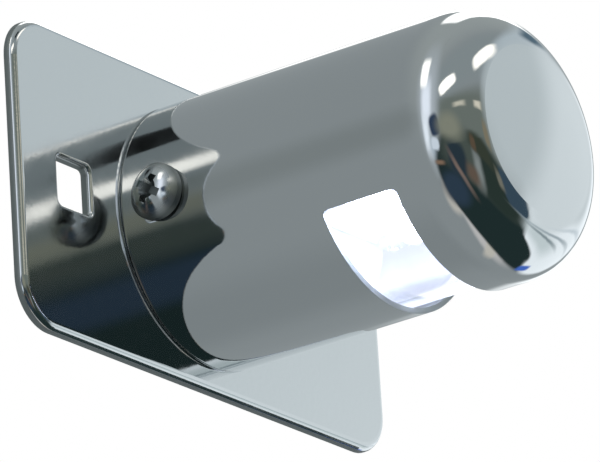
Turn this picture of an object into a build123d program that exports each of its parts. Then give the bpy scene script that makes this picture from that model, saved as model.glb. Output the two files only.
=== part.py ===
from build123d import *
import math
import os

# Number plate lamp: a drawn, chromed hood with a window in its underside, screwed to an upright plate.
# The origin is the centre of the plate's back face. The hood stands out towards -Y and lights what is
# below it, -Z. All sizes are in millimetres, and depths are measured forward from the plate's front face.

# Mounting plate
plate_width = 82.0
plate_height = 44.9
plate_thickness = 1.6
plate_corner_radius = 6.5
plate_edge_roll = 1.2
bolt_hole_side = 7.0
bolt_hole_corner_radius = 0.8
bolt_hole_spacing = 57.6
bolt_hole_roll = 0.6

# Hood, a drawn cup with a softly domed nose
hood_diameter = 38.1
hood_length = 57.9
hood_wall = 0.8
nose_corner_radius = 8.9
nose_dome_radius = 55.8
window_start = 32.0
window_length = 12.2
window_half_angle = 60.5
window_corner_radius = 0.8
hood_edge_round = 0.6

# Screws: thread diameters, lengths under the head, heads and cross recesses
hood_screw_thread = 4.0
hood_screw_length = 8.0
hood_screw_head_diameter = 8.0
hood_screw_head_height = 3.1
hood_screw_head_rim = 1.2
hood_screw_depth = 7.0
hood_screw_height = -0.4
hood_screw_turn = 33.0
base_screw_thread = 3.0
base_screw_head_diameter = 5.4
plate_screw_length = 5.0
plate_screw_offset = 11.0
carrier_screw_length = 7.0
carrier_screw_offset = 11.0
board_screw_thread = 2.5
board_screw_length = 4.6
board_screw_head_diameter = 4.4
board_screw_head_height = 1.6
recess_share = 0.56
recess_wing_share = 0.14
recess_flank_angle = 26.5

# Bracket inside the hood: a flat base with two curved ears that take the hood screws
bracket_thickness = 1.5
bracket_bend_radius = 0.8
ear_gap = 2.0
ear_width = 13.0
ear_corner_radius = 3.0
collar_wall = 1.2
collar_height = 1.4

# Rubber grommet for the lead
grommet_bore = 5.0
grommet_wall = 2.0
grommet_lip = 1.7
grommet_lip_thickness = 1.5

# Lens, a clear moulded cup that follows the inside of the hood
lens_gap = 0.5
lens_wall = 1.25
lens_start = 15.2

# Moulded carrier that closes the lens and holds the board
carrier_lip = 1.2
carrier_spigot = 4.0
carrier_web = 2.0
carrier_rim_wall = 3.4
carrier_boss_radius = 3.0
rail_width = 3.6
rail_height = 2.6
rail_end_bar = 2.6
rib_thickness = 1.4
rib_height = 4.4
rib_length = 7.0
seal_section = 1.5
seal_groove_width = 1.9
lead_seal_bore = 3.2
lead_seal_wall = 1.1
lead_seal_lip = 0.8
lead_seal_lip_thickness = 0.9
lead_seal_height = 4.0

# Circuit board and what is soldered to it
board_length = 26.5
board_thickness = 1.6
board_corner_radius = 1.0
board_screw_inset = 3.4
led_count = 3
led_row_setback = 2.5
led_diameter = 5.0
led_height = 8.6
led_flange_diameter = 5.8
led_flange_height = 1.0
led_leg_pitch = 2.54
led_leg_side = 0.5
leg_stub = 1.0
resistor_diameter = 2.4
resistor_length = 6.3
resistor_leg_pitch = 10.16
resistor_waist_share = 0.85
resistor_offset = 5.0
diode_diameter = 2.7
diode_length = 5.2
diode_leg_pitch = 8.6
wire_diameter = 0.6
component_lift = 0.3
lead_pin_diameter = 1.0
lead_pin_height = 5.0
lead_pin_pitch = 5.08
lead_pin_flange = 0.5

# Reflector, a white moulding with one cup for each LED
reflector_thickness = 1.2
reflector_cup_depth = 3.8
reflector_cup_wall = 0.6
reflector_cup_throat = 6.1
reflector_cup_mouth = 7.5
reflector_margin = 0.5

# Clearances
screw_hole_clearance = 0.2
thread_clearance = 0.05
ear_clearance = 0.1
spigot_clearance = 0.1
seal_clearance = 0.03
rubber_clearance = 0.05
solder_clearance = 0.1
head_seat_clearance = 0.03
board_clearance = 0.3
board_side_clearance = 0.3
cup_side_clearance = 1.6
led_clearance = 0.1

# Sizes worked out from those above
hood_radius = hood_diameter / 2
ear_outer_radius = hood_radius - hood_wall - ear_clearance
lens_inset = hood_wall + lens_gap
lens_outer_radius = hood_radius - lens_inset
lens_inner_radius = lens_outer_radius - lens_wall
carrier_spigot_radius = lens_inner_radius - spigot_clearance
carrier_web_front = lens_start + carrier_spigot
carrier_back = lens_start - carrier_lip
ear_reach = carrier_back - ear_gap
board_start = carrier_web_front + board_clearance
board_end = board_start + board_length
rail_end = board_end
reflector_face = -board_thickness - reflector_thickness
grommet_barrel_radius = grommet_bore / 2 + grommet_wall
grommet_lip_radius = grommet_barrel_radius + grommet_lip
board_screw_low = reflector_face - board_screw_head_height
board_screw_reach = math.sqrt((lens_inner_radius - board_side_clearance) ** 2 - board_screw_low ** 2)
board_screw_x = board_screw_reach - board_screw_head_diameter / 2
board_width = 2 * board_screw_x + rail_width
board_screw_depths = (board_start + board_screw_inset, board_end - board_screw_inset)
led_row_depth = window_start + window_length / 2 - led_row_setback
resistor_depths = (led_row_depth - resistor_offset, led_row_depth + resistor_offset)
seal_front = carrier_web_front + lead_seal_lip_thickness
row_space = resistor_depths[0] - resistor_diameter / 2 - diode_diameter - 2 * lead_pin_diameter - seal_front
row_gap = row_space / 3
lead_pin_depth = seal_front + row_gap + lead_pin_diameter
diode_depth = lead_pin_depth + lead_pin_diameter + row_gap + diode_diameter / 2
cup_low = reflector_face - reflector_cup_depth
cup_reach = math.sqrt((lens_inner_radius - cup_side_clearance) ** 2 - cup_low ** 2)
led_row_end = cup_reach - reflector_cup_mouth / 2 - reflector_cup_wall
led_pitch = 2 * led_row_end / (led_count - 1)


def forward(depth):
    """Y of a point that lies this far in front of the plate's front face."""
    return -(plate_thickness + depth)


def bar_along_axis(radius, start, end, x=0.0, z=0.0):
    """Round bar parallel to the hood's axis, between two depths."""
    circle = Plane((x, forward(start), z), z_dir=(0, -1, 0)) * Circle(radius)
    return extrude(circle, end - start)


def ring_along_axis(outer, inner, start, end, x=0.0, z=0.0):
    return bar_along_axis(outer, start, end, x, z) - bar_along_axis(inner, start, end, x, z)


def plan_prism(face, low, high):
    """Raise a plan drawing, X across and Y along the hood, between two heights."""
    return extrude(Pos(0, 0, low) * face, high - low)


def plan_rectangle(width, start, end, x=0.0, corner=0.0):
    middle = Pos(x, forward((start + end) / 2))
    if corner > 0:
        return middle * RectangleRounded(width, end - start, corner)
    return middle * Rectangle(width, end - start)


def standing_bar(radius, low, high, x, depth):
    return Pos(x, forward(depth), low) * Cylinder(radius, high - low, align=(Align.CENTER, Align.CENTER, Align.MIN))


def nose_cup(inset, start):
    """Solid of the hood's outside shape, drawn in all round by the inset and cut off square at the start."""
    radius = hood_radius - inset
    corner = nose_corner_radius - inset
    dome = nose_dome_radius - inset
    dome_centre = hood_length - nose_dome_radius
    corner_x = radius - corner
    corner_depth = dome_centre + math.sqrt((dome - corner) ** 2 - corner_x ** 2)
    lean = math.atan2(corner_x, corner_depth - dome_centre)
    half = (math.pi / 2 + lean) / 2

    def on_dome(angle):
        return dome * math.sin(angle), forward(dome_centre + dome * math.cos(angle))

    def on_corner(angle):
        return corner_x + corner * math.sin(angle), forward(corner_depth + corner * math.cos(angle))

    outline = Polyline((0, forward(dome_centre + dome)), (0, forward(start)), (radius, forward(start)),
                       (radius, forward(corner_depth)))
    outline += ThreePointArc(on_corner(math.pi / 2), on_corner(half), on_dome(lean))
    outline += ThreePointArc(on_dome(lean), on_dome(lean / 2), on_dome(0))
    return revolve(make_face(outline), Axis.Y)


def cross_recess(head_diameter, top):
    """Cross recess cut down from the top of a head: two tapering wings and a cone between them."""
    width = head_diameter * recess_share
    wing = head_diameter * recess_wing_share
    depth = width / 2
    foot = width / 2 - depth * math.tan(math.radians(recess_flank_angle))
    outline = Polyline((-width / 2, top), (-foot, top - depth), (foot, top - depth), (width / 2, top), close=True)
    blade = extrude(Plane.XZ * make_face(outline), wing / 2, both=True)
    cone = Pos(0, 0, top) * Cone(foot * 0.5, wing * 1.35, depth, align=(Align.CENTER, Align.CENTER, Align.MAX))
    return blade + Rot(0, 0, 90) * blade + cone


def pan_screw(thread, length, head_diameter, head_height, head_rim):
    """Screw on +Z with the underside of its domed head at Z = 0."""
    radius = head_diameter / 2
    rise = head_height - head_rim
    sphere = (radius ** 2 + rise ** 2) / (2 * rise)
    middle = math.asin(radius / sphere) / 2
    shoulder = (sphere * math.sin(middle), head_height - sphere + sphere * math.cos(middle))
    outline = Polyline((0, head_height), (0, 0), (radius - 0.15, 0), (radius, 0.3), (radius, head_rim))
    outline += ThreePointArc((radius, head_rim), shoulder, (0, head_height))
    head = revolve(Plane.XZ * make_face(outline), Axis.Z)
    shank = Cylinder(thread / 2, length, align=(Align.CENTER, Align.CENTER, Align.MAX))
    shank = chamfer(shank.edges().sort_by(Axis.Z)[0], thread * 0.12)
    return head + shank - cross_recess(head_diameter, head_height)


def flush_screw(thread, length, head_diameter):
    """Countersunk screw on +Z with the top of its head at Z = 0."""
    cone_depth = (head_diameter - thread) / 2
    head = Cone(thread / 2, head_diameter / 2, cone_depth, align=(Align.CENTER, Align.CENTER, Align.MAX))
    shank = Cylinder(thread / 2, length, align=(Align.CENTER, Align.CENTER, Align.MAX))
    shank = chamfer(shank.edges().sort_by(Axis.Z)[0], thread * 0.12)
    return head + shank - cross_recess(head_diameter * 0.9, 0)


def flush_seat(thread, head_diameter, depth):
    """Countersunk hole down from Z = 0 that a flush screw lies in."""
    spare = screw_hole_clearance
    cone_depth = (head_diameter - thread) / 2
    cone = Cone(thread / 2 + spare, head_diameter / 2 + spare, cone_depth,
                align=(Align.CENTER, Align.CENTER, Align.MAX))
    return cone + Cylinder(thread / 2 + spare, depth, align=(Align.CENTER, Align.CENTER, Align.MAX))


def facing_back(x, depth, z):
    """Frame whose Z points out of the back of the lamp, for screws put in from behind."""
    return Plane((x, forward(depth), z), x_dir=(1, 0, 0), z_dir=(0, 1, 0)).location


def facing_side(side):
    """Frame of one hood screw: Z points outward through the hood's wall at the screw's height."""
    seat = hood_radius + head_seat_clearance
    place = (side * seat, forward(hood_screw_depth), hood_screw_height)
    frame = Plane(place, x_dir=(0, -1, 0), z_dir=(side, 0, 0)).location
    return frame * Rot(0, 0, side * hood_screw_turn)


def make_mounting_plate():
    """Pressed plate with rolled front edges, a square bolt hole at each end and a round hole for the grommet."""
    blank = Plane.XZ * RectangleRounded(plate_width, plate_height, plate_corner_radius)
    plate = extrude(blank, plate_thickness)
    front_edges = plate.faces().sort_by(Axis.Y)[0].edges()
    plate = fillet(front_edges, plate_edge_roll)
    for side in (-1, 1):
        square = Plane.XZ * Pos(side * bolt_hole_spacing / 2, 0) * RectangleRounded(
            bolt_hole_side, bolt_hole_side, bolt_hole_corner_radius)
        plate -= extrude(square, plate_thickness)
        rim = plate.faces().sort_by(Axis.Y)[0].inner_wires().sort_by(Axis.X)[-1 if side > 0 else 0]
        plate = fillet(rim.edges(), bolt_hole_roll)
        plate -= facing_back(side * plate_screw_offset, -plate_thickness, 0) * flush_seat(
            base_screw_thread, base_screw_head_diameter, plate_thickness)
    plate -= bar_along_axis(grommet_lip_radius + rubber_clearance, -plate_thickness, 0)
    return plate


def make_hood():
    """Drawn cup with the lit window cut through its underside and a screw hole in each flank."""
    hood = nose_cup(0, 0) - nose_cup(hood_wall, 0)
    inner = hood_radius - 3 * hood_wall
    outer = hood_radius + 3 * hood_wall
    sector = Circle(outer) - Circle(inner)
    reach = 2 * outer
    spread = reach * math.tan(math.radians(window_half_angle))
    sector &= make_face(Polyline((0, 0), (-spread, -reach), (spread, -reach), close=True))
    cutter = extrude(Plane((0, forward(window_start), 0), x_dir=(1, 0, 0), z_dir=(0, -1, 0)) * sector, window_length)
    cutter = fillet(cutter.edges().filter_by(GeomType.LINE).filter_by(Axis.Y, reverse=True), window_corner_radius)
    hood -= cutter
    hole = Cylinder(hood_screw_thread / 2 + screw_hole_clearance, 2 * hood_screw_length)
    for side in (-1, 1):
        hood -= facing_side(side) * hole
    rim = hood.faces().sort_by(Axis.Y)[-1].outer_wire().edges()
    return fillet(rim, hood_edge_round)


def make_hood_screws():
    screw = pan_screw(hood_screw_thread, hood_screw_length, hood_screw_head_diameter, hood_screw_head_height,
                      hood_screw_head_rim)
    return Compound([facing_side(side) * screw for side in (-1, 1)])


def make_bracket():
    """Pressed bracket: a round base against the plate, and two ears curved to the inside of the hood."""
    inner_radius = ear_outer_radius - bracket_thickness
    outer_bend = bracket_bend_radius + bracket_thickness
    cup = bar_along_axis(ear_outer_radius, 0, ear_reach)
    cup = fillet(cup.edges().sort_by(Axis.Y)[-1], outer_bend)
    hollow = bar_along_axis(inner_radius, bracket_thickness, ear_reach)
    hollow = fillet(hollow.edges().sort_by(Axis.Y)[-1], bracket_bend_radius)
    cup -= hollow
    kept_depth = outer_bend
    ears = plan_rectangle(4 * hood_radius, kept_depth - ear_corner_radius, ear_reach, corner=0)
    tall = Pos(0, 0, -ear_width / 2) * extrude(ears, ear_width)
    tall = fillet(tall.edges().filter_by(Axis.X).group_by(Axis.Y)[0], ear_corner_radius)
    bracket = cup & (tall + bar_along_axis(hood_radius, 0, kept_depth))
    collar_radius = hood_screw_thread / 2 + collar_wall
    for side in (-1, 1):
        place = (side * inner_radius, forward(hood_screw_depth), hood_screw_height)
        frame = Plane(place, z_dir=(-side, 0, 0)).location
        collar = Cylinder(collar_radius, collar_height + 0.5, align=(Align.CENTER, Align.CENTER, Align.MIN))
        bracket += frame * Pos(0, 0, -0.5) * collar
        bracket -= facing_side(side) * Cylinder(hood_screw_thread / 2 + thread_clearance, 2 * hood_screw_length)
        base_collar = base_screw_thread / 2 + collar_wall
        x = side * plate_screw_offset
        bracket += bar_along_axis(base_collar, 0, bracket_thickness + collar_height, x=x)
        bracket -= bar_along_axis(base_screw_thread / 2 + thread_clearance, 0, ear_reach, x=x)
        bracket -= facing_back(0, 0, side * carrier_screw_offset) * flush_seat(
            base_screw_thread, base_screw_head_diameter, bracket_thickness)
    return bracket - bar_along_axis(grommet_barrel_radius + rubber_clearance, 0, bracket_thickness)


def make_plate_screws():
    screw = flush_screw(base_screw_thread, plate_screw_length, base_screw_head_diameter)
    places = [facing_back(side * plate_screw_offset, -plate_thickness, 0) for side in (-1, 1)]
    return Compound([place * screw for place in places])


def make_carrier_screws():
    screw = flush_screw(base_screw_thread, carrier_screw_length, base_screw_head_diameter)
    places = [facing_back(0, 0, side * carrier_screw_offset) for side in (-1, 1)]
    return Compound([place * screw for place in places])


def make_grommet():
    """Grommet snapped into the bracket's base, with its back lip sunk in the plate's hole."""
    length = plate_thickness + bracket_thickness + grommet_lip_thickness
    grommet = bar_along_axis(grommet_lip_radius, -plate_thickness, length - plate_thickness)
    grommet -= ring_along_axis(2 * grommet_lip_radius, grommet_barrel_radius, 0, bracket_thickness)
    front = grommet.edges().filter_by(GeomType.CIRCLE).sort_by(Axis.Y)[0]
    grommet = fillet(front, 0.6)
    return grommet - bar_along_axis(grommet_bore / 2, -plate_thickness, length)


def make_lens():
    return nose_cup(lens_inset, lens_start) - nose_cup(lens_inset + lens_wall, lens_start)


def make_carrier():
    """Moulded closure with a sealing groove, two legs down to the bracket and two rails for the board."""
    carrier = bar_along_axis(lens_outer_radius, carrier_back, lens_start)
    carrier += bar_along_axis(carrier_spigot_radius, lens_start, carrier_web_front)
    carrier -= bar_along_axis(carrier_spigot_radius - carrier_rim_wall, carrier_back, carrier_web_front - carrier_web)
    groove_middle = lens_start + carrier_spigot / 2
    groove_floor = lens_inner_radius - seal_section - 2 * seal_clearance
    carrier -= ring_along_axis(lens_outer_radius, groove_floor, groove_middle - seal_groove_width / 2,
                               groove_middle + seal_groove_width / 2)
    for side in (-1, 1):
        z = side * carrier_screw_offset
        carrier += bar_along_axis(carrier_boss_radius, bracket_thickness, carrier_web_front - carrier_web, z=z)
        carrier -= bar_along_axis(base_screw_thread / 2 + thread_clearance, bracket_thickness,
                                  carrier_screw_length + bracket_thickness, z=z)
    frame = plan_rectangle(board_width, carrier_web_front, rail_end, corner=0)
    frame -= plan_rectangle(board_width - 2 * rail_width, carrier_web_front, rail_end - rail_end_bar)
    shelf = plan_prism(frame, 0, rail_height)
    shelf = fillet(shelf.edges().filter_by(Axis.Z).group_by(Axis.Y)[0], board_corner_radius)
    carrier += shelf
    rib_back = forward(carrier_web_front)
    rib_outline = Polyline((rib_back, rail_height), (rib_back, rail_height + rib_height),
                           (rib_back - rib_length, rail_height), close=True)
    for side in (-1, 1):
        x = side * (board_width / 2 - rail_width / 2)
        rib = extrude(Plane.YZ * make_face(rib_outline), rib_thickness / 2, both=True)
        carrier += Pos(x, 0, 0) * rib
        for depth in board_screw_depths:
            carrier -= standing_bar(board_screw_thread / 2 + thread_clearance, 0, rail_height,
                                    side * board_screw_x, depth)
    hole = lead_seal_bore / 2 + lead_seal_wall + rubber_clearance
    return carrier - bar_along_axis(hole, carrier_back, carrier_web_front, z=lead_seal_height)


def make_carrier_seal():
    """Rubber ring in the carrier's groove, pressed against the inside of the lens."""
    middle = lens_start + carrier_spigot / 2
    ring_radius = lens_inner_radius - seal_section / 2 - seal_clearance
    section = Pos(ring_radius, forward(middle)) * Circle(seal_section / 2)
    return revolve(section, Axis.Y)


def make_lead_seal():
    """Small bush that closes the carrier round the lead."""
    web_back = carrier_web_front - carrier_web
    barrel = lead_seal_bore / 2 + lead_seal_wall
    bush = bar_along_axis(barrel, web_back - lead_seal_lip_thickness, carrier_web_front + lead_seal_lip_thickness,
                          z=lead_seal_height)
    for start in (web_back - lead_seal_lip_thickness, carrier_web_front):
        bush += bar_along_axis(barrel + lead_seal_lip, start, start + lead_seal_lip_thickness, z=lead_seal_height)
    return bush - bar_along_axis(lead_seal_bore / 2, carrier_back, rail_end, z=lead_seal_height)


def led_centres():
    middle = (led_count - 1) / 2
    return [(index - middle) * led_pitch for index in range(led_count)]


def leg_holes():
    """Places of the soldered legs on the board, with the radius each one needs."""
    led = led_leg_side * math.sqrt(0.5)
    wire = wire_diameter / 2
    holes = [(x + side * led_leg_pitch / 2, led_row_depth, led) for x in led_centres() for side in (-1, 1)]
    holes += [(side * resistor_leg_pitch / 2, depth, wire) for depth in resistor_depths for side in (-1, 1)]
    holes += [(side * diode_leg_pitch / 2, diode_depth, wire) for side in (-1, 1)]
    holes += [(side * lead_pin_pitch / 2, lead_pin_depth, lead_pin_diameter / 2) for side in (-1, 1)]
    return holes


def make_board():
    board = plan_prism(plan_rectangle(board_width, board_start, board_end, corner=board_corner_radius),
                       -board_thickness, 0)
    for x, depth, radius in leg_holes():
        board -= standing_bar(radius + solder_clearance, -board_thickness, 0, x, depth)
    for side in (-1, 1):
        for depth in board_screw_depths:
            board -= standing_bar(board_screw_thread / 2 + screw_hole_clearance, -board_thickness, 0,
                                  side * board_screw_x, depth)
    return board


def make_board_screws():
    """Four screws put in from below, through the reflector and the board into the carrier's rails."""
    screw = pan_screw(board_screw_thread, board_screw_length, board_screw_head_diameter, board_screw_head_height,
                      board_screw_head_height / 2)
    screws = []
    for side in (-1, 1):
        for depth in board_screw_depths:
            screws.append(Pos(side * board_screw_x, forward(depth), reflector_face) * Rot(180, 0, 0) * screw)
    return Compound(screws)


def make_led(x):
    """Round LED pointing down, its flange against the board and its legs through it."""
    radius = led_diameter / 2
    seat = -board_thickness
    body = standing_bar(radius, seat - led_height + radius, seat, x, led_row_depth)
    body += Pos(x, forward(led_row_depth), seat - led_height + radius) * Sphere(radius)
    body += standing_bar(led_flange_diameter / 2, seat - led_flange_height, seat, x, led_row_depth)
    for side in (-1, 1):
        leg = plan_rectangle(led_leg_side, led_row_depth - led_leg_side / 2, led_row_depth + led_leg_side / 2,
                             x=x + side * led_leg_pitch / 2)
        body += plan_prism(leg, seat - led_flange_height / 2, leg_stub)
    return body


def make_reflector():
    """White plate against the board with a flared cup round each LED."""
    outline = plan_rectangle(board_width - 2 * reflector_margin, board_start + reflector_margin,
                             board_end - reflector_margin, corner=board_corner_radius)
    top = -board_thickness
    reflector = plan_prism(outline, reflector_face, top)
    flare = (Align.CENTER, Align.CENTER, Align.MIN)
    for x in led_centres():
        place = Pos(x, forward(led_row_depth), cup_low)
        reflector += place * Cone(reflector_cup_mouth / 2 + reflector_cup_wall,
                                  reflector_cup_throat / 2 + reflector_cup_wall, reflector_cup_depth, align=flare)
    for x in led_centres():
        place = Pos(x, forward(led_row_depth), cup_low)
        reflector -= place * Cone(reflector_cup_mouth / 2, reflector_cup_throat / 2, reflector_cup_depth, align=flare)
        reflector -= standing_bar(led_flange_diameter / 2 + led_clearance, reflector_face, top, x, led_row_depth)
    for side in (-1, 1):
        for depth in board_screw_depths:
            reflector -= standing_bar(board_screw_thread / 2 + screw_hole_clearance, reflector_face, top,
                                      side * board_screw_x, depth)
    return reflector


def bent_leg(side, reach, inner, height, y):
    """Wire leg: up from the board, round a bend and into the end of the component's body."""
    bend = 2 * wire_diameter
    corner = bend * math.sqrt(0.5)
    path = Line((side * reach, y, -board_thickness), (side * reach, y, height - bend))
    path += ThreePointArc((side * reach, y, height - bend),
                          (side * (reach - bend + corner), y, height - bend + corner),
                          (side * (reach - bend), y, height))
    path += Line((side * (reach - bend), y, height), (side * inner, y, height))
    return sweep(Pos(side * reach, y, -board_thickness) * Circle(wire_diameter / 2), path=path)


def axial_component(diameter, length, leg_pitch, depth, waist_share):
    """Component lying across the board on two bent legs, with a body drawn in between its ends."""
    radius = diameter / 2
    height = radius + component_lift
    waist = radius * waist_share
    outline = Polyline((-length / 2, 0), (-length / 2, radius), (-length / 4, radius), (-length / 5, waist),
                       (length / 5, waist), (length / 4, radius), (length / 2, radius), (length / 2, 0), close=True)
    component = Pos(0, forward(depth), height) * revolve(make_face(outline), Axis.X)
    for side in (-1, 1):
        component += bent_leg(side, leg_pitch / 2, length / 4, height, forward(depth))
    return component


def make_resistor(depth):
    return axial_component(resistor_diameter, resistor_length, resistor_leg_pitch, depth, resistor_waist_share)


def make_diode():
    return axial_component(diode_diameter, diode_length, diode_leg_pitch, diode_depth, 1)


def make_lead_pins():
    pins = []
    for side in (-1, 1):
        x = side * lead_pin_pitch / 2
        pin = standing_bar(lead_pin_diameter / 2, -board_thickness, lead_pin_height, x, lead_pin_depth)
        pins.append(pin + standing_bar(lead_pin_diameter, 0, lead_pin_flange, x, lead_pin_depth))
    return Compound(pins)


def make_nodes():
    nodes = {
        "mounting_plate": make_mounting_plate(),
        "hood": make_hood(),
        "hood_screws": make_hood_screws(),
        "hood_bracket": make_bracket(),
        "plate_screws": make_plate_screws(),
        "lead_grommet": make_grommet(),
        "lens": make_lens(),
        "led_carrier": make_carrier(),
        "carrier_screws": make_carrier_screws(),
        "carrier_seal": make_carrier_seal(),
        "lead_seal": make_lead_seal(),
        "reflector": make_reflector(),
        "led_board": make_board(),
        "board_screws": make_board_screws(),
        "polarity_diode": make_diode(),
        "lead_pins": make_lead_pins(),
    }
    for number, x in enumerate(led_centres(), start=1):
        nodes[f"led_{number}"] = make_led(x)
    for number, depth in enumerate(resistor_depths, start=1):
        nodes[f"resistor_{number}"] = make_resistor(depth)
    return nodes


os.makedirs("parts", exist_ok=True)
for name, shape in make_nodes().items():
    export_step(shape, f"parts/{name}.step")
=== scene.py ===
"""Looks of a number plate lamp: a chromed hood with a lit window in its underside, on an upright plate."""

import math

import bpy
from mathutils import Matrix, Quaternion, Vector


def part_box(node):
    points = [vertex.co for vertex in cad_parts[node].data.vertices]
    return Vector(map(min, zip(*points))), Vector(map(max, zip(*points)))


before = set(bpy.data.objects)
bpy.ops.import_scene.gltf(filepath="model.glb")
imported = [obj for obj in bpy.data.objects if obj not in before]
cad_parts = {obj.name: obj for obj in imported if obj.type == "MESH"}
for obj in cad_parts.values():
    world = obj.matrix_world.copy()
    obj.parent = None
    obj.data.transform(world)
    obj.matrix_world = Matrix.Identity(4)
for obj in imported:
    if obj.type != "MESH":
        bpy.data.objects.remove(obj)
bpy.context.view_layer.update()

bl_info = {
    "name": "Number Plate Lamp",
    "version": (1, 0, 0),
    "blender": (4, 5, 0),
    "location": "View3D > Sidebar > Plate Lamp",
    "description": "Finishes and studio for a chromed number plate lamp",
    "category": "Object",
}

MM = 0.001
# Radius of the dome that closes the hood's end.
END_RADIUS = 55.8 * MM
# Height in the frame at which the diodes' bodies come out of their flanges.
LED_FLANGE_HEIGHT = -2.6 * MM
# Two spots on the lamp that set the dark card's turn: it is edge-on to the first and faces the second.
NOSE_SPOT = Vector((-9, -54, 15)) * MM
PLATE_SPOT = Vector((-18, -1.6, 15)) * MM


def linear(colour):
    """Linear RGBA of an sRGB hex colour."""
    parts = [int(colour[i:i + 2], 16) / 255 for i in (1, 3, 5)]
    return tuple(c / 12.92 if c <= 0.04045 else ((c + 0.055) / 1.055) ** 2.4 for c in parts) + (1.0,)


def add_node(tree, kind, inputs=None, stops=None, **settings):
    """A node with its settings. Each input is a value, or the output that is linked to it."""
    node = tree.nodes.new(kind)
    for name, value in settings.items():
        setattr(node, name, value)
    for socket, value in (inputs or {}).items():
        if isinstance(value, bpy.types.NodeSocket):
            tree.links.new(value, node.inputs[socket])
        else:
            node.inputs[socket].default_value = value
    if stops:
        elements = node.color_ramp.elements
        while len(elements) < len(stops):
            elements.new(0.5)
        for element, (position, colour) in zip(elements, stops):
            element.position = position
            element.color = colour
    return node


def colour_setting(name, description, default):
    return bpy.props.FloatVectorProperty(name=name, description=description, subtype="COLOR", size=4,
                                         min=0, max=1, default=linear(default))


def length_setting(name, description, default):
    return bpy.props.FloatProperty(name=name, description=description, subtype="DISTANCE",
                                   unit="LENGTH", default=default * MM)


def place_setting(name, description, default):
    return bpy.props.FloatVectorProperty(name=name, description=description, subtype="TRANSLATION",
                                         unit="LENGTH", default=default)


def plain_setting(name, description, default):
    return bpy.props.FloatProperty(name=name, description=description, default=default, precision=4)


class LampFinishes(bpy.types.PropertyGroup):
    """Colours and gloss of the lamp's own surfaces."""
    chrome: colour_setting("Chrome", "Mirror colour of the chromed plate, hood and screws", "#c9cccd")
    # This grey is also painted deep in the screws' cross recesses as shade.
    bare_metal_and_shade: colour_setting("Bare metal", "Thin plating inside the hood and in punched holes", "#8b908f")
    plate_roughness: plain_setting("Plate roughness", "Blur of the plate's reflections", 0.1)
    hood_roughness: plain_setting("Hood roughness", "Blur of the hood's reflections", 0.04)
    screw_roughness: plain_setting("Screw roughness", "Blur of the screw heads' reflections", 0.12)
    inside_roughness: plain_setting("Inside roughness", "Blur where the chrome is thin and unpolished", 0.45)
    chrome_wave: length_setting("Chrome wave", "Height of the long pressing waves under the chrome", 0.012)
    zinc: colour_setting("Zinc", "Clear-passivated zinc on the bracket and the inner screws", "#b9bdbf")
    rubber: colour_setting("Rubber", "Moulded black rubber of grommet and seals", "#1b1c1d")
    lens: colour_setting("Lens", "Clear moulded lens", "#fbfcff")
    moulding: colour_setting("Moulding", "White moulded carrier", "#e6e7e4")
    reflector: colour_setting("Reflector", "White reflector moulding", "#f3f5f8")
    solder_mask: colour_setting("Solder mask", "Green lacquer of the circuit board", "#1f6a3c")
    copper: colour_setting("Copper tracks", "Lacquer over the copper tracks", "#2f8a4c")
    resistor: colour_setting("Resistor", "Lacquer of the carbon film resistors", "#cebc9e")
    diode: colour_setting("Diode", "Moulded body of the diode", "#18191b")
    tin: colour_setting("Tin", "Tinned pins and solder", "#c3c4c2")
    light: colour_setting("Light", "Colour of the lit diodes", "#dfe6ff")
    light_strength: plain_setting("Light strength", "Brightness of the lit diodes", 48.0)
    # Strength of the glow painted on the lens as emission.
    painted_lens_glow: plain_setting("Lens glow", "Brightness of the light that runs round in the lens", 0.44)


class LampStage(bpy.types.PropertyGroup):
    """Camera, lights and surroundings, which aren't part of the lamp."""
    camera_place: place_setting("Camera place", "Where the camera stands", (-0.79073, -0.58311, -0.37339))
    camera_target: place_setting("Camera target", "What it looks at", (0.001294, -0.017074, -0.002765))
    camera_lean: bpy.props.FloatProperty(name="Camera lean", description="Turn about the camera's own view",
                                         subtype="ANGLE", default=math.radians(-3.620))
    camera_lens: plain_setting("Camera lens", "Focal length in millimetres on a 36 mm sensor", 455.22)
    floor_drop: length_setting("Floor drop", "How far the floor is under the lamp", 1700)
    floor_radius: length_setting("Floor radius", "Size of the round floor", 6000)
    floor_colour: colour_setting("Floor", "Plain pale floor", "#e4e4e2")
    backdrop_colour: colour_setting("Backdrop", "Plain white background", "#ffffff")
    fill_strength: plain_setting("Fill", "Soft light from all round", 0.55)
    lamp_power: bpy.props.FloatProperty(name="Lamp power", description="Power of each soft lamp",
                                        unit="POWER", default=9.0)
    lamp_size: length_setting("Lamp size", "Side of each soft lamp", 900)
    room_middle: place_setting("Room middle", "Middle of the room that the chrome mirrors", (0, -0.05, 0))
    room_radius: length_setting("Room radius", "Distance of the room that the chrome mirrors", 1500)
    room_level: plain_setting("Room level", "Brightness of the mirrored room against its colours", 1.66)
    card_place: place_setting("Card place", "Middle of the card over the nose", (-0.0424, -0.0853, 0.1395))
    card_width: length_setting("Card width", "Width of the dark card", 50)
    card_height: length_setting("Card height", "Height of the dark card", 70)


def even_material(name, colour, roughness, specular=0.5):
    """A plain dull surface of the stage."""
    material = bpy.data.materials.new(name)
    material.use_nodes = True
    shader = material.node_tree.nodes["Principled BSDF"]
    shader.inputs["Base Color"].default_value = colour
    shader.inputs["Roughness"].default_value = roughness
    shader.inputs["Specular IOR Level"].default_value = specular
    return material


def start_material(name):
    """A new material, its tree, its Principled shader and the place on the piece that its patterns go by."""
    material = bpy.data.materials.new(name)
    material.use_nodes = True
    tree = material.node_tree
    place = add_node(tree, "ShaderNodeTexCoord").outputs["Object"]
    return material, tree, tree.nodes["Principled BSDF"], place


def dress(material, *nodes):
    """Puts the material on these CAD nodes, which keep their own slot."""
    for name in nodes:
        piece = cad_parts[name]
        piece.data.materials.clear()
        piece.data.materials.append(material)


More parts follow.
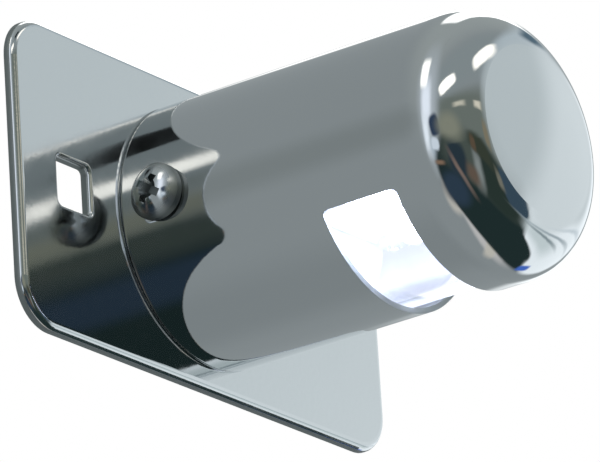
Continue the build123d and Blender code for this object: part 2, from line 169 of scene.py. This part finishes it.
def way_out(tree, place, middle):
    """Unit direction to the place from the middle."""
    out = add_node(tree, "ShaderNodeVectorMath", {0: place, 1: middle}, operation="SUBTRACT")
    return add_node(tree, "ShaderNodeVectorMath", {0: out.outputs["Vector"]},
                    operation="NORMALIZE").outputs["Vector"]


def chrome_finish(name, finishes, roughness, peel, plating_and_shade_mask, true_round=None):
    """Bright chrome over nickel on polished pressed steel: a near mirror, a little blue, with long faint
    waves from the press, a fine orange peel, peel millimetres high, and a thin haze from wiping. Where the
    plating hardly reaches it is grey and dull, and deep in the screws' recesses the same grey, dull metal is
    painted shade: the mask function builds the nodes that give 1 there. true_round builds those of a
    surface's exact normal."""
    haze_size = 9 * MM
    wave_size = 15 * MM
    peel_size = 0.9 * MM
    material, tree, shader, place = start_material(name)
    shader.inputs["Metallic"].default_value = 1.0
    plating_and_shade = plating_and_shade_mask(tree, place)
    colour = add_node(tree, "ShaderNodeMix", {0: plating_and_shade, 6: finishes.chrome, 7: finishes.bare_metal_and_shade},
                      data_type="RGBA")
    tree.links.new(colour.outputs[2], shader.inputs["Base Color"])
    haze = add_node(tree, "ShaderNodeTexNoise",
                    {"Vector": place, "Scale": 1 / haze_size, "Detail": 4.0, "Roughness": 0.6})
    haze = add_node(tree, "ShaderNodeMapRange",
                    {"Value": haze.outputs["Fac"], "From Min": 0.35, "From Max": 0.75,
                     "To Min": roughness * 0.8, "To Max": roughness * 1.5})
    haze = add_node(tree, "ShaderNodeMix",
                    {0: plating_and_shade, 2: haze.outputs["Result"], 3: finishes.inside_roughness})
    tree.links.new(haze.outputs[0], shader.inputs["Roughness"])
    wave = add_node(tree, "ShaderNodeTexNoise", {"Vector": place, "Scale": 1 / wave_size, "Detail": 1.0})
    wave = add_node(tree, "ShaderNodeBump",
                    {"Height": wave.outputs["Fac"], "Strength": 1.0, "Distance": finishes.chrome_wave})
    if true_round:
        tree.links.new(true_round(tree, place), wave.inputs["Normal"])
    grain = add_node(tree, "ShaderNodeTexNoise", {"Vector": place, "Scale": 1 / peel_size, "Detail": 2.0})
    grain = add_node(tree, "ShaderNodeBump",
                     {"Height": grain.outputs["Fac"], "Strength": 1.0, "Distance": peel * MM,
                      "Normal": wave.outputs["Normal"]})
    tree.links.new(grain.outputs["Normal"], shader.inputs["Normal"])
    return material


def punched_walls(tree, place):
    """1 on the walls of the plate's holes and on its trimmed edge, behind their rounded front."""
    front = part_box("mounting_plate")[0].y
    rounding_depth = 0.65 * MM
    wall_slant = 0.4
    depth = add_node(tree, "ShaderNodeSeparateXYZ", {"Vector": place}).outputs["Y"]
    behind = add_node(tree, "ShaderNodeMath", {0: depth, 1: front + rounding_depth}, operation="GREATER_THAN")
    facing = add_node(tree, "ShaderNodeNewGeometry").outputs["True Normal"]
    facing = add_node(tree, "ShaderNodeSeparateXYZ", {"Vector": facing}).outputs["Y"]
    facing = add_node(tree, "ShaderNodeMath", {0: facing}, operation="ABSOLUTE").outputs[0]
    wall = add_node(tree, "ShaderNodeMath", {0: facing, 1: wall_slant}, operation="LESS_THAN")
    return add_node(tree, "ShaderNodeMath", {0: behind.outputs[0], 1: wall.outputs[0]},
                    operation="MULTIPLY").outputs[0]


def hood_inside(tree, place):
    """1 on every face of the hood that looks inward, and on the cut edges of its window and holes."""
    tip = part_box("hood")[0].y
    middle_depth = 20 * MM
    outward_least = 0.15
    out = way_out(tree, place, Vector((0, tip + middle_depth, 0)))
    facing = add_node(tree, "ShaderNodeNewGeometry").outputs["True Normal"]
    facing = add_node(tree, "ShaderNodeVectorMath", {0: out, 1: facing}, operation="DOT_PRODUCT")
    return add_node(tree, "ShaderNodeMath", {0: facing.outputs["Value"], 1: outward_least},
                    operation="LESS_THAN").outputs[0]


def dome_normal(tree, place):
    """Normal of the hood's end face, taken from its sphere near the middle, where facets meet in a point."""
    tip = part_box("hood")[0].y
    cap_depth = 0.2 * MM
    out = way_out(tree, place, Vector((0, tip + END_RADIUS, 0)))
    depth = add_node(tree, "ShaderNodeSeparateXYZ", {"Vector": place}).outputs["Y"]
    near = add_node(tree, "ShaderNodeMath", {0: depth, 1: tip + cap_depth}, operation="LESS_THAN")
    given = add_node(tree, "ShaderNodeNewGeometry").outputs["Normal"]
    return add_node(tree, "ShaderNodeMix", {0: near.outputs[0], 4: given, 5: out},
                    data_type="VECTOR").outputs[1]


def recess_painted_shade(tree, place):
    """Painted shade: 1 deep in the cross recesses, where the chrome turns to darker, duller metal towards
    their bottom.
    """
    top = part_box("hood_screws")[1].x
    bright_depth = 0.5 * MM
    dull_depth = 1.6 * MM
    across = add_node(tree, "ShaderNodeSeparateXYZ", {"Vector": place}).outputs["X"]
    across = add_node(tree, "ShaderNodeMath", {0: across}, operation="ABSOLUTE").outputs[0]
    deep = add_node(tree, "ShaderNodeMapRange",
                    {"Value": across, "From Min": top - bright_depth, "From Max": top - dull_depth})
    return deep.outputs["Result"]


def zinc_finish(finishes):
    """Zinc plate with a clear passivate on mild steel: dull silver with cloudy patches of blue and straw."""
    cloud_size = 6 * MM
    grain_size = 0.4 * MM
    grain_height = 0.01 * MM
    material, tree, shader, place = start_material("zinc_plated_steel")
    shader.inputs["Metallic"].default_value = 1.0
    cloud = add_node(tree, "ShaderNodeTexNoise", {"Vector": place, "Scale": 1 / cloud_size, "Detail": 5.0})
    tone = add_node(tree, "ShaderNodeValToRGB", {"Fac": cloud.outputs["Fac"]},
                    stops=[(0.3, linear("#a9b0b8")), (0.55, finishes.zinc), (0.75, linear("#c4c1b4"))])
    tree.links.new(tone.outputs["Color"], shader.inputs["Base Color"])
    dull = add_node(tree, "ShaderNodeMapRange",
                    {"Value": cloud.outputs["Fac"], "To Min": 0.28, "To Max": 0.5})
    tree.links.new(dull.outputs["Result"], shader.inputs["Roughness"])
    grain = add_node(tree, "ShaderNodeTexNoise", {"Vector": place, "Scale": 1 / grain_size, "Detail": 2.0})
    grain = add_node(tree, "ShaderNodeBump",
                     {"Height": grain.outputs["Fac"], "Strength": 0.4, "Distance": grain_height})
    tree.links.new(grain.outputs["Normal"], shader.inputs["Normal"])
    return material


def moulded_finish(name, colour, roughness, grain_size, grain_height):
    """Moulded plastic or rubber: one even colour with the fine spark-eroded grain of its mould, whose size
    and height are in millimetres."""
    mottle_size = 5 * MM
    material, tree, shader, place = start_material(name)
    mottle = add_node(tree, "ShaderNodeTexNoise", {"Vector": place, "Scale": 1 / mottle_size, "Detail": 3.0})
    darker = tuple(c * 0.9 for c in colour[:3]) + (1.0,)
    tone = add_node(tree, "ShaderNodeValToRGB", {"Fac": mottle.outputs["Fac"]},
                    stops=[(0.35, darker), (0.65, colour)])
    tree.links.new(tone.outputs["Color"], shader.inputs["Base Color"])
    shader.inputs["Roughness"].default_value = roughness
    grain = add_node(tree, "ShaderNodeTexNoise",
                     {"Vector": place, "Scale": 1 / (grain_size * MM), "Detail": 2.0})
    grain = add_node(tree, "ShaderNodeBump",
                     {"Height": grain.outputs["Fac"], "Strength": 0.5, "Distance": grain_height * MM})
    tree.links.new(grain.outputs["Normal"], shader.inputs["Normal"])
    return material


class LAMP_OT_chrome(bpy.types.Operator):
    """Chrome the mounting plate, the hood and the two screws that hold it"""
    bl_idname = "lamp.chrome"
    bl_label = "Chrome plate, hood and screws"

    def execute(self, context):
        finishes = context.scene.lamp_finishes
        dress(chrome_finish("chromed_pressed_plate", finishes, finishes.plate_roughness, peel=0.005,
                            plating_and_shade_mask=punched_walls), "mounting_plate")
        dress(chrome_finish("chromed_drawn_hood", finishes, finishes.hood_roughness, peel=0.001,
                            plating_and_shade_mask=hood_inside, true_round=dome_normal), "hood")
        # The screw heads' mask paints shade deep in their cross recesses.
        dress(chrome_finish("chromed_screw_heads", finishes, finishes.screw_roughness, peel=0.004,
                            plating_and_shade_mask=recess_painted_shade), "hood_screws")
        return {"FINISHED"}


class LAMP_OT_hardware(bpy.types.Operator):
    """Finish the bracket, the inner screws and the rubber parts"""
    bl_idname = "lamp.hardware"
    bl_label = "Bracket, inner screws and rubber"

    def execute(self, context):
        finishes = context.scene.lamp_finishes
        dress(zinc_finish(finishes), "hood_bracket", "plate_screws", "carrier_screws", "board_screws")
        rubber = moulded_finish("moulded_epdm_rubber", finishes.rubber, roughness=0.62, grain_size=0.25,
                                grain_height=0.012)
        dress(rubber, "lead_grommet", "carrier_seal", "lead_seal")
        return {"FINISHED"}


class LAMP_OT_lens(bpy.types.Operator):
    """Make the lens clear and paint a glow on it"""
    bl_idname = "lamp.lens"
    bl_label = "Lens"

    def execute(self, context):
        dress(self.polycarbonate(context.scene.lamp_finishes), "lens")
        return {"FINISHED"}

    def polycarbonate(self, finishes):
        """Injection-moulded clear polycarbonate: glossy and colourless, with the slightest flow ripple. A
        glow in the diodes' light colour is painted on it as emission, standing in for their light: strong on
        its lower flanks, weaker at its foot straight under the diodes."""
        ripple_size = 7 * MM
        ripple_height = 0.02 * MM
        material, tree, shader, place = start_material("clear_moulded_polycarbonate")
        shader.inputs["Base Color"].default_value = finishes.lens
        shader.inputs["Transmission Weight"].default_value = 1.0
        shader.inputs["IOR"].default_value = 1.585
        ripple = add_node(tree, "ShaderNodeTexNoise",
                          {"Vector": place, "Scale": 1 / ripple_size, "Detail": 1.0})
        gloss = add_node(tree, "ShaderNodeMapRange",
                         {"Value": ripple.outputs["Fac"], "To Min": 0.02, "To Max": 0.06})
        tree.links.new(gloss.outputs["Result"], shader.inputs["Roughness"])
        ripple = add_node(tree, "ShaderNodeBump",
                          {"Height": ripple.outputs["Fac"], "Strength": 0.5, "Distance": ripple_height})
        tree.links.new(ripple.outputs["Normal"], shader.inputs["Normal"])
        # Painted glow: emission set by distance from the lens's middle, weak at its foot, strong on its
        # flanks, weaker again at its edges.
        across = add_node(tree, "ShaderNodeSeparateXYZ", {"Vector": place}).outputs["X"]
        across = add_node(tree, "ShaderNodeMath", {0: across}, operation="ABSOLUTE").outputs[0]
        across = add_node(tree, "ShaderNodeMapRange", {"Value": across, "From Max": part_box("lens")[1].x})
        share = add_node(tree, "ShaderNodeValToRGB", {"Fac": across.outputs["Result"]},
                         stops=[(0.0, linear("#202020")), (0.1, linear("#707070")), (0.22, linear("#ffffff")),
                                (0.6, linear("#ffffff")), (0.9, linear("#7c7c7c"))])
        glow = add_node(tree, "ShaderNodeMath", {0: share.outputs["Color"], 1: finishes.painted_lens_glow},
                        operation="MULTIPLY")
        shader.inputs["Emission Color"].default_value = finishes.light
        tree.links.new(glow.outputs[0], shader.inputs["Emission Strength"])
        return material


class LAMP_OT_insert(bpy.types.Operator):
    """Finish the carrier, the reflector and the circuit board with its parts"""
    bl_idname = "lamp.insert"
    bl_label = "Carrier, reflector and board"

    def execute(self, context):
        finishes = context.scene.lamp_finishes
        dress(moulded_finish("moulded_white_abs", finishes.moulding, roughness=0.45, grain_size=0.3,
                             grain_height=0.008), "led_carrier")
        dress(moulded_finish("moulded_white_polycarbonate", finishes.reflector, roughness=0.3, grain_size=0.3,
                             grain_height=0.004), "reflector")
        dress(self.board(finishes), "led_board")
        dress(self.resistor(finishes), "resistor_1", "resistor_2")
        dress(self.diode(finishes), "polarity_diode")
        dress(self.tin(finishes), "lead_pins")
        return {"FINISHED"}

    def board(self, finishes):
        """Glass-epoxy board under green lacquer: the copper tracks show paler, in straight runs."""
        track_pitch = 2.5 * MM
        track_length = 9 * MM
        track_width = 0.35 * MM
        track_height = 0.03 * MM
        material, tree, shader, place = start_material("lacquered_glass_epoxy")
        tracks = add_node(tree, "ShaderNodeTexBrick", {
            "Vector": place, "Scale": 1.0, "Brick Width": track_length, "Row Height": track_pitch,
            "Mortar Size": track_width, "Mortar Smooth": 0.1, "Mortar": finishes.copper,
            "Color1": finishes.solder_mask, "Color2": finishes.solder_mask})
        tree.links.new(tracks.outputs["Color"], shader.inputs["Base Color"])
        shader.inputs["Roughness"].default_value = 0.32
        raised = add_node(tree, "ShaderNodeBump",
                          {"Height": tracks.outputs["Fac"], "Strength": 0.6, "Distance": track_height})
        tree.links.new(raised.outputs["Normal"], shader.inputs["Normal"])
        return material

    def resistor(self, finishes):
        """Carbon film resistor: satin beige lacquer with painted rings across it, and bare tinned legs."""
        return self.ringed("lacquered_resistor", finishes, finishes.resistor, roughness=0.3, half_body=3.2,
                           rings=[(-2.35, 0.55, "#7a3b1c"), (-1.25, 0.5, "#1a1a1a"),
                                  (-0.4, 0.5, "#c2281e"), (2.2, 0.6, "#b08d3c")])

    def diode(self, finishes):
        """Moulded rectifier diode: satin black with one silver ring at the cathode, and bare tinned legs."""
        return self.ringed("moulded_diode", finishes, finishes.diode, roughness=0.42, half_body=2.6,
                           rings=[(1.7, 0.7, "#b9bcbf")])

    def ringed(self, name, finishes, body_colour, roughness, half_body, rings):
        """A body that lies along X, half_body millimetres long to each side, with a tinned leg at each end.
        Each ring has its middle and width in millimetres, and its colour."""
        material, tree, shader, place = start_material(name)
        across = add_node(tree, "ShaderNodeSeparateXYZ", {"Vector": place}).outputs["X"]
        colour = body_colour
        for middle, width, ring_colour in rings:
            ring = add_node(tree, "ShaderNodeMath", {0: across, 1: middle * MM, 2: width / 2 * MM},
                            operation="COMPARE")
            colour = add_node(tree, "ShaderNodeMix", {0: ring.outputs[0], 6: colour, 7: linear(ring_colour)},
                              data_type="RGBA").outputs[2]
        length = add_node(tree, "ShaderNodeMath", {0: across}, operation="ABSOLUTE").outputs[0]
        leg = add_node(tree, "ShaderNodeMath", {0: length, 1: half_body * MM}, operation="GREATER_THAN")
        colour = add_node(tree, "ShaderNodeMix", {0: leg.outputs[0], 6: colour, 7: finishes.tin},
                          data_type="RGBA").outputs[2]
        tree.links.new(colour, shader.inputs["Base Color"])
        tree.links.new(leg.outputs[0], shader.inputs["Metallic"])
        shader.inputs["Roughness"].default_value = roughness
        return material

    def tin(self, finishes):
        """Bright tin on brass pins: soft silver with a faint mottle from the bath."""
        mottle_size = 1.5 * MM
        material, tree, shader, place = start_material("tinned_brass")
        shader.inputs["Metallic"].default_value = 1.0
        mottle = add_node(tree, "ShaderNodeTexNoise",
                          {"Vector": place, "Scale": 1 / mottle_size, "Detail": 3.0})
        tone = add_node(tree, "ShaderNodeValToRGB", {"Fac": mottle.outputs["Fac"]},
                        stops=[(0.3, linear("#aaa89f")), (0.7, finishes.tin)])
        tree.links.new(tone.outputs["Color"], shader.inputs["Base Color"])
        dull = add_node(tree, "ShaderNodeMapRange",
                        {"Value": mottle.outputs["Fac"], "To Min": 0.2, "To Max": 0.4})
        tree.links.new(dull.outputs["Result"], shader.inputs["Roughness"])
        return material


class LAMP_OT_leds(bpy.types.Operator):
    """Light the three diodes"""
    bl_idname = "lamp.leds"
    bl_label = "Lit diodes"

    def execute(self, context):
        dress(self.lit_epoxy(context.scene.lamp_finishes), "led_1", "led_2", "led_3")
        return {"FINISHED"}

    def lit_epoxy(self, finishes):
        """Lit 5 mm diode in clear epoxy: a blue-white glow, strongest at the domed tip."""
        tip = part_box("led_1")[0].z
        flange_share = 0.25
        material, tree, shader, place = start_material("lit_clear_epoxy")
        shader.inputs["Base Color"].default_value = linear("#eef2ff")
        shader.inputs["Roughness"].default_value = 0.1
        shader.inputs["IOR"].default_value = 1.5
        height = add_node(tree, "ShaderNodeSeparateXYZ", {"Vector": place}).outputs["Z"]
        glow = add_node(tree, "ShaderNodeMapRange",
                        {"Value": height, "From Min": tip, "To Min": finishes.light_strength,
                         "From Max": LED_FLANGE_HEIGHT, "To Max": finishes.light_strength * flange_share})
        shader.inputs["Emission Color"].default_value = finishes.light
        tree.links.new(glow.outputs["Result"], shader.inputs["Emission Strength"])
        return material


# What the chrome mirrors: a work room with grey walls, ceiling lamps, a roll of white paper to one side and
# a dark floor. Each fitting has the direction of its middle seen from the lamp (azimuth from the nose's way
# towards +X, and elevation), its half width and half height, its turn and its soft edge, all in degrees, how
# square it is (2 is round, 8 nearly a rectangle), its colour and how bright it is. A later fitting hides an
# earlier one.
ROOM_FITTINGS = (
    ("ceiling", 0, 90, 70, 20, 0, 14, 2, "#8c9292", 1.0),
    ("upper_wall", 0, 48, 70, 15, 0, 8, 4, "#7e8688", 1.0),
    ("lower_wall", -8, 14, 52, 15, 0, 4, 6, "#646b66", 1.0),
    ("lit_wall_by_window", -76, 20, 14, 44, 0, 8, 3, "#a4abb1", 1.0),
    ("window", -79, 24, 7, 17, 0, 4, 3, "#dfe5ef", 1.0),
    ("window_glare", -85, 49, 5.2, 12, -3, 1.5, 5, "#fcfaf5", 1.3),
    ("window_low", -83, -1, 4, 14, 0, 3, 4, "#dfe6ee", 1.0),
    ("window_foot", -72, -13, 8, 7, 0, 4, 3, "#aab5bf", 1.0),
    ("floor_glow_left", -63, -48, 12, 19, 0, 4, 2, "#b3afa8", 1.0),
    ("rear_floor", 172, -56, 26, 12, 0, 8, 2, "#797f81", 1.0),
    ("table_top", 22, -77, 36, 6, 0, 3, 3, "#b3b1b0", 1.0),
    ("table_edge", 70, -70, 14, 4.5, 0, 2, 3, "#b5b1a8", 1.0),
    ("dark_floor", 13, -45, 76, 31, 0, 2, 3, "#1e2b2b", 1.0),
    ("bench", -10, -12, 50, 17, 0, 6, 4, "#454d48", 1.0),
    ("paper_roll", 75, -3, 32, 34, 0, 2.5, 4, "#dfe5e9", 1.0),
    ("paper_top", 68, 40, 26, 6, 0, 4, 3, "#a6b0b6", 1.0),
    ("paper_near", 59, 21, 31, 16, 0, 4, 3, "#b1b9bc", 1.0),
    ("paper_light", 64.5, 11, 30, 12, -45, 5, 3, "#c8cfd2", 1.0),
    ("paper_cut", 60, -39, 19, 6, 8, 1.5, 4, "#1e2b2b", 1.0),
    ("paper_foot", 60, -19, 18, 8, 6, 5, 3, "#bcc6c8", 1.0),
    ("bench_dark_left", -38, -18, 14, 13, 0, 4, 3, "#26323a", 1.0),
    ("bench_dark_right", 14, -12, 22, 19, 0, 4, 3, "#27322e", 1.0),
    ("bench_brown", -36, -28, 16, 2.4, 42, 2, 3, "#75655d", 1.0),
    ("bench_pale", -6, -14, 5, 12, 0, 4, 4, "#7b8180", 1.0),
    ("bench_warm", -16, -22, 8, 6, 0, 4, 3, "#5c4f45", 1.0),
    ("navy_cloth", -68, 5, 8, 8, -15, 2, 3, "#2c3a4e", 1.0),
    ("navy_cloth_low", 33, -4, 9, 10, 0, 1.2, 4, "#344552", 1.0),
    ("pale_can", 22, -3, 3, 5, 0, 1.5, 3, "#6d6c62", 1.0),
    ("beige_box", 20, 13, 3.5, 4, 0, 1.5, 3, "#77705f", 1.0),
    ("shelf", 2, 2, 17, 5.5, 0, 2, 3, "#343a31", 1.0),
    ("brown_box", -8, 1, 4, 4, 0, 2, 3, "#55483a", 1.0),
    ("wall_patch", -44, 5, 19, 9, 0, 5, 2, "#7b7d70", 1.0),
    ("navy_floor", -52, -44, 18, 14, 0, 6, 2, "#2a3846", 1.0),
    ("pale_cloth", -71, -10, 6, 5, 10, 1.5, 3, "#c3ccd6", 1.0),
    ("brown_strip", -70, -24, 7, 1.6, 0, 1, 3, "#7a6453", 1.0),
    ("paper_fold", 66, -9, 26, 1.1, -12, 0.9, 3, "#98a3a9", 1.0),
    ("paper_fold_low", 60, -15, 17, 1.3, -4, 1, 3, "#7f8b90", 1.0),
    ("paper_fold_upper", 85, 3, 20, 1.0, -16, 1, 3, "#bcc5cb", 1.0),
    ("paper_shadow", 90, 38.5, 10, 3, 10, 1.6, 3, "#4f626f", 1.0),
    ("blue_box", 97, -33, 4, 5, 0, 1.5, 4, "#4063b4", 1.0),
    ("ceiling_lamp_left", -40.2, 36.2, 13, 4.3, -20, 0.8, 4, "#f7f2ea", 1.5),
    ("ceiling_lamp_right", 28, 41.5, 12.5, 4.8, 4, 1, 3, "#f7f2ea", 1.3),
    ("rear_shade", -125, 12, 22, 10, 0, 8, 2, "#767c7d", 1.0),
    ("far_lamp_left", -22, 21.5, 9, 1.3, -5, 0.8, 6, "#b9b5a6", 1.0),
    ("far_lamp_right", 13, 22, 6, 1.3, 3, 0.8, 6, "#c8c2b2", 1.0),
    ("soft_box", 112, 55, 6.6, 18.5, 6, 1.5, 6, "#fefdfb", 1.5),
    ("soft_box_low", 123, 37, 7, 8, 0, 2, 4, "#fefdfb", 1.4),
    ("soft_box_foot", 119, 10, 3, 12, 0, 2, 4, "#e4e8ea", 1.0),
)
ROOM_COLOUR = "#808688"


def fitting_group():
    """Node group that gives 1 inside one fitting of the room and 0 outside it."""
    group = bpy.data.node_groups.new("room_fitting", "ShaderNodeTree")
    for name in ("Direction", "Turn"):
        group.interface.new_socket(name, in_out="INPUT", socket_type="NodeSocketVector")
    for name in ("Width", "Height", "Squareness", "Edge"):
        group.interface.new_socket(name, in_out="INPUT", socket_type="NodeSocketFloat")
    group.interface.new_socket("Inside", in_out="OUTPUT", socket_type="NodeSocketFloat")
    given = add_node(group, "NodeGroupInput").outputs
    local = add_node(group, "ShaderNodeVectorRotate",
                     {"Vector": given["Direction"], "Rotation": given["Turn"]},
                     rotation_type="EULER_XYZ", invert=True)
    local = add_node(group, "ShaderNodeSeparateXYZ", {"Vector": local.outputs["Vector"]}).outputs
    ahead = add_node(group, "ShaderNodeMath", {0: local["Y"], 1: -1.0}, operation="MULTIPLY").outputs[0]
    sideways = add_node(group, "ShaderNodeMath", {0: local["X"], 1: ahead}, operation="ARCTAN2").outputs[0]
    upward = add_node(group, "ShaderNodeMath", {0: local["Z"]}, operation="ARCSINE").outputs[0]
    powers = []
    for angle, extent in ((sideways, given["Width"]), (upward, given["Height"])):
        share = add_node(group, "ShaderNodeMath", {0: angle, 1: extent}, operation="DIVIDE").outputs[0]
        share = add_node(group, "ShaderNodeMath", {0: share}, operation="ABSOLUTE").outputs[0]
        share = add_node(group, "ShaderNodeMath", {0: share, 1: given["Squareness"]}, operation="POWER")
        powers.append(share.outputs[0])
    total = add_node(group, "ShaderNodeMath", {0: powers[0], 1: powers[1]}).outputs[0]
    root = add_node(group, "ShaderNodeMath", {0: 1.0, 1: given["Squareness"]}, operation="DIVIDE").outputs[0]
    reach = add_node(group, "ShaderNodeMath", {0: total, 1: root}, operation="POWER").outputs[0]
    inner = add_node(group, "ShaderNodeMath", {0: 1.0, 1: given["Edge"]}, operation="SUBTRACT").outputs[0]
    outer = add_node(group, "ShaderNodeMath", {0: 1.0, 1: given["Edge"]}).outputs[0]
    inside = add_node(group, "ShaderNodeMapRange",
                      {"Value": reach, "From Min": inner, "From Max": outer, "To Min": 1.0, "To Max": 0.0},
                      interpolation_type="SMOOTHSTEP")
    add_node(group, "NodeGroupOutput", {"Inside": inside.outputs["Result"]})
    return group


class LAMP_OT_stage(bpy.types.Operator):
    """Set up the camera, the lights, the floor, the white background and what the chrome mirrors"""
    bl_idname = "lamp.stage"
    bl_label = "Studio"

    def execute(self, context):
        stage = context.scene.lamp_stage
        self.camera(context, stage)
        self.background(context, stage)
        self.floor(stage)
        self.lamps(context, stage)
        self.room(stage)
        self.card(stage)
        context.scene.view_settings.view_transform = "Standard"
        return {"FINISHED"}

    def camera(self, context, stage):
        """A long lens from the nose's left and from below, leaned a little about its own view."""
        data = bpy.data.cameras.new("photo_camera")
        data.lens = stage.camera_lens
        data.sensor_width = 36.0
        data.sensor_fit = "HORIZONTAL"
        data.clip_end = 50.0
        camera = bpy.data.objects.new("photo_camera", data)
        context.scene.collection.objects.link(camera)
        place = Vector(stage.camera_place)
        look = (Vector(stage.camera_target) - place).to_track_quat("-Z", "Y")
        camera.location = place
        camera.rotation_euler = (look @ Quaternion((0, 0, 1), stage.camera_lean)).to_euler()
        context.scene.camera = camera

    def background(self, context, stage):
        """White to the camera, in glass and in metal, and a softer fill for everything that it lights."""
        world = bpy.data.worlds.new("white_background")
        world.use_nodes = True
        context.scene.world = world
        tree = world.node_tree
        seen = add_node(tree, "ShaderNodeLightPath").outputs
        direct = add_node(tree, "ShaderNodeMath", {0: seen["Is Camera Ray"], 1: seen["Is Glossy Ray"]})
        direct = add_node(tree, "ShaderNodeMath", {0: direct.outputs[0], 1: seen["Is Transmission Ray"]},
                          use_clamp=True)
        strength = add_node(tree, "ShaderNodeMapRange",
                            {"Value": direct.outputs[0], "To Min": stage.fill_strength, "To Max": 1.0})
        shader = tree.nodes["Background"]
        shader.inputs["Color"].default_value = stage.backdrop_colour
        tree.links.new(strength.outputs["Result"], shader.inputs["Strength"])

    def floor(self, stage):
        """Plain pale floor, far below the lamp."""
        bpy.ops.mesh.primitive_circle_add(vertices=96, radius=stage.floor_radius, fill_type="NGON",
                                          location=(0, 0, -stage.floor_drop))
        self.set_up("pale_floor", even_material("pale_floor", stage.floor_colour, roughness=0.9))

    def lamps(self, context, stage):
        """Two large soft lamps. The mirrored room stands for them in the chrome."""
        for name, place in (("soft_lamp_left", (-1.1, -0.9, 0.9)), ("soft_lamp_right", (1.2, -0.7, 0.8))):
            data = bpy.data.lights.new(name, "AREA")
            data.shape = "SQUARE"
            data.size = stage.lamp_size
            data.energy = stage.lamp_power
            lamp = bpy.data.objects.new(name, data)
            context.scene.collection.objects.link(lamp)
            lamp.location = place
            lamp.rotation_euler = (-Vector(place)).to_track_quat("-Z", "Y").to_euler()
            lamp.visible_glossy = False

    def set_up(self, name, material, only_mirrored=False):
        """Names and dresses the piece of the stage that was just added."""
        piece = bpy.context.object
        piece.name = name
        piece.data.materials.append(material)
        if only_mirrored:
            for kind in ("camera", "diffuse", "transmission", "volume_scatter", "shadow"):
                setattr(piece, "visible_" + kind, False)

    def card(self, stage):
        """Dark card over the nose. Only the plate and the hood show it, one in the other."""
        place = Vector(stage.card_place)
        from_nose = (place - NOSE_SPOT).normalized()
        from_plate = (place - PLATE_SPOT).normalized()
        side = from_nose.cross(from_plate).normalized()
        turn = Matrix((from_nose, side, from_nose.cross(side))).transposed()
        bpy.ops.mesh.primitive_plane_add(size=1, location=place, rotation=turn.to_euler())
        bpy.context.object.scale = (stage.card_height, stage.card_width, 1)
        material = even_material("dark_card", linear("#080b0b"), roughness=0.9, specular=0.1)
        self.set_up("dark_card", material, only_mirrored=True)

    def room(self, stage):
        """Hollow ball round the lamp that only mirrors show. The background is seen past it."""
        bpy.ops.mesh.primitive_uv_sphere_add(segments=64, ring_count=32, radius=stage.room_radius,
                                             location=stage.room_middle)
        self.set_up("mirrored_room", self.room_material(stage), only_mirrored=True)

    def room_material(self, stage):
        """The room's light by direction: each fitting lies over those before it."""
        material = bpy.data.materials.new("mirrored_room")
        material.use_nodes = True
        tree = material.node_tree
        tree.nodes.clear()
        place = add_node(tree, "ShaderNodeTexCoord").outputs["Object"]
        way = add_node(tree, "ShaderNodeVectorMath", {0: place}, operation="NORMALIZE").outputs["Vector"]
        group = fitting_group()
        colour = linear(ROOM_COLOUR)
        for name, azimuth, elevation, width, height, turn, edge, square, tint, bright in ROOM_FITTINGS:
            facing = (Matrix.Rotation(math.radians(azimuth), 3, "Z")
                      @ Matrix.Rotation(math.radians(-elevation), 3, "X")
                      @ Matrix.Rotation(math.radians(turn), 3, "Y"))
            inside = add_node(tree, "ShaderNodeGroup", node_tree=group, label=name)
            tree.links.new(way, inside.inputs["Direction"])
            inside.inputs["Turn"].default_value = facing.to_euler()
            inside.inputs["Width"].default_value = math.radians(width)
            inside.inputs["Height"].default_value = math.radians(height)
            inside.inputs["Squareness"].default_value = square
            inside.inputs["Edge"].default_value = edge / min(width, height)
            glow = tuple(c * bright for c in linear(tint)[:3]) + (1.0,)
            colour = add_node(tree, "ShaderNodeMix", {0: inside.outputs["Inside"], 6: colour, 7: glow},
                              data_type="RGBA").outputs[2]
        shine = add_node(tree, "ShaderNodeEmission", {"Color": colour, "Strength": stage.room_level})
        add_node(tree, "ShaderNodeOutputMaterial", {"Surface": shine.outputs["Emission"]})
        return material


OPERATORS = (LAMP_OT_chrome, LAMP_OT_hardware, LAMP_OT_lens, LAMP_OT_insert, LAMP_OT_leds, LAMP_OT_stage)


class LAMP_PT_sidebar(bpy.types.Panel):
    """The steps that finish the lamp"""
    bl_idname = "LAMP_PT_sidebar"
    bl_label = "Number Plate Lamp"
    bl_space_type = "VIEW_3D"
    bl_region_type = "UI"
    bl_category = "Plate Lamp"

    def draw(self, context):
        for operator in OPERATORS:
            self.layout.operator(operator.bl_idname)
        for group in (context.scene.lamp_finishes, context.scene.lamp_stage):
            box = self.layout.box()
            for name in group.__annotations__:
                box.prop(group, name)


CLASSES = (LampFinishes, LampStage) + OPERATORS + (LAMP_PT_sidebar,)


def register():
    for item in CLASSES:
        bpy.utils.register_class(item)
    bpy.types.Scene.lamp_finishes = bpy.props.PointerProperty(type=LampFinishes)
    bpy.types.Scene.lamp_stage = bpy.props.PointerProperty(type=LampStage)


def unregister():
    del bpy.types.Scene.lamp_stage
    del bpy.types.Scene.lamp_finishes
    for item in reversed(CLASSES):
        bpy.utils.unregister_class(item)


def main():
    register()
    bpy.ops.lamp.chrome()
    bpy.ops.lamp.hardware()
    bpy.ops.lamp.lens()
    bpy.ops.lamp.insert()
    bpy.ops.lamp.leds()
    bpy.ops.lamp.stage()


if __name__ == "__main__":
    main()
